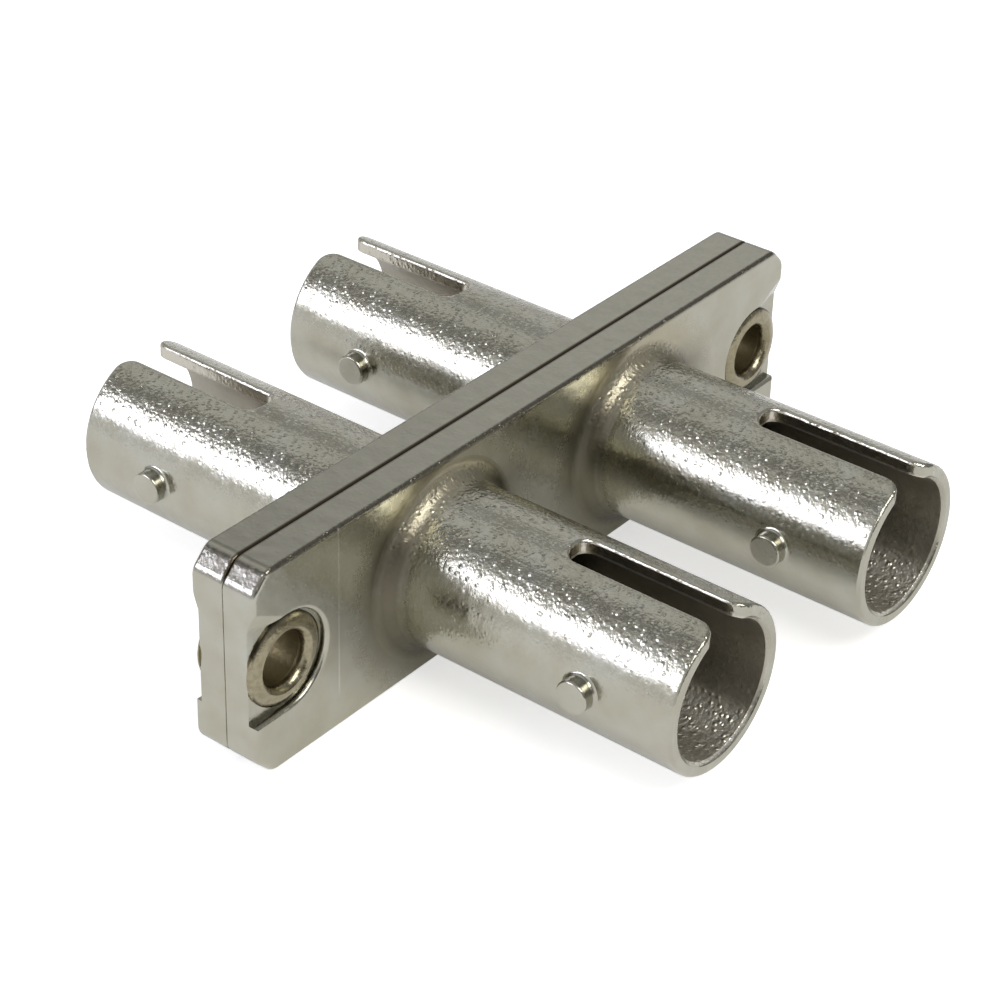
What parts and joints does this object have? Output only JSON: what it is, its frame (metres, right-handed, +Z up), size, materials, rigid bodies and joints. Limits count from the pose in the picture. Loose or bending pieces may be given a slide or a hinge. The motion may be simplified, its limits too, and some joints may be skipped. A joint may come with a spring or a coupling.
{
  "type": "duplex fiber optic coupler",
  "caption": "Flanged duplex coupler: a riveted two-part die-cast plate with slotted bayonet barrels on both faces that align pairs of fibre plugs end to end.",
  "frame": {"origin": "middle of the parting plane between the two halves, midway between the two barrel axes", "axes": "+X along the flange from the left channel to the right channel, +Y along the barrels towards the rear half, +Z up towards the keyways; the part stands on its lower flange edge"},
  "size_m": [0.0348, 0.03, 0.0092],
  "materials": {
    "nickel_casting_front": "satin nickel plate over a zinc die casting",
    "nickel_casting_rear": "satin nickel plate over a zinc die casting",
    "nickel_rivet": "bright nickel plate over rolled brass tube",
    "zirconia_sleeve": "fine ground zirconia"
  },
  "bodies": {
    "root": {"front_half": "nickel_casting_front", "rear_half": "nickel_casting_rear", "rivet_left": "nickel_rivet", "rivet_right": "nickel_rivet", "sleeve_left": "zirconia_sleeve", "sleeve_right": "zirconia_sleeve"}
  },
  "joints": []
}
